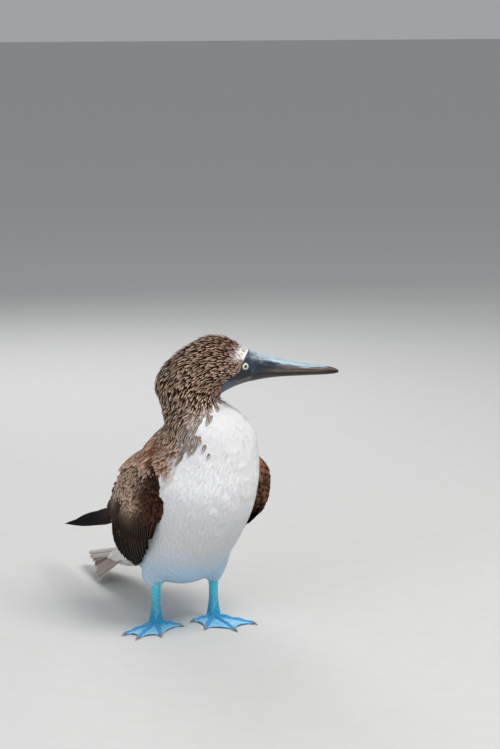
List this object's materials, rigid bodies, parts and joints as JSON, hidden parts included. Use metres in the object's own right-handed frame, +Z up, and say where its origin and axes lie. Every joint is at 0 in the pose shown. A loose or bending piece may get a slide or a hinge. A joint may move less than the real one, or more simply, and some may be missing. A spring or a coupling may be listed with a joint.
{
  "type": "blue footed booby model",
  "caption": "Life-size still model of a blue footed booby standing on webbed feet, head turned to its left, wings folded and tail low.",
  "frame": {"origin": "middle of the bounding box at floor level, under the soles", "axes": "+Z up, the bird's breast faces -Y and its tail points to +Y, its left side is +X"},
  "size_m": [0.2498, 0.3964, 0.3399],
  "materials": {
    "white_plumage": "soft white breast feathers",
    "neck_plumage": "brown feathers with pale pointed tips",
    "head_plumage": "fine streaked brown feathers",
    "bill_horn": "smooth blue-grey horn",
    "eye_surface": "wet gloss, pale yellow iris",
    "wing_feathers": "dull brown coverts",
    "flight_feathers": "dark brown vanes with a slight sheen",
    "tail_feathers": "whitish vanes with brown shading",
    "leg_skin": "turquoise scaled skin",
    "foot_skin": "sky blue webbed skin",
    "claw_horn": "grey horn"
  },
  "bodies": {
    "root": {"torso": "white_plumage", "neck": "neck_plumage", "head": "head_plumage", "eye_right": "eye_surface", "eye_left": "eye_surface", "bill_upper": "bill_horn", "bill_lower": "bill_horn", "wing_right": "wing_feathers", "wing_left": "wing_feathers", "primaries_right": "flight_feathers", "primaries_left": "flight_feathers", "tail": "tail_feathers", "leg_right": "leg_skin", "leg_left": "leg_skin", "foot_right": "foot_skin", "foot_left": "foot_skin", "claw_right_hallux": "claw_horn", "claw_right_inner": "claw_horn", "claw_right_middle": "claw_horn", "claw_right_outer": "claw_horn", "claw_left_hallux": "claw_horn", "claw_left_inner": "claw_horn", "claw_left_middle": "claw_horn", "claw_left_outer": "claw_horn"}
  },
  "joints": []
}
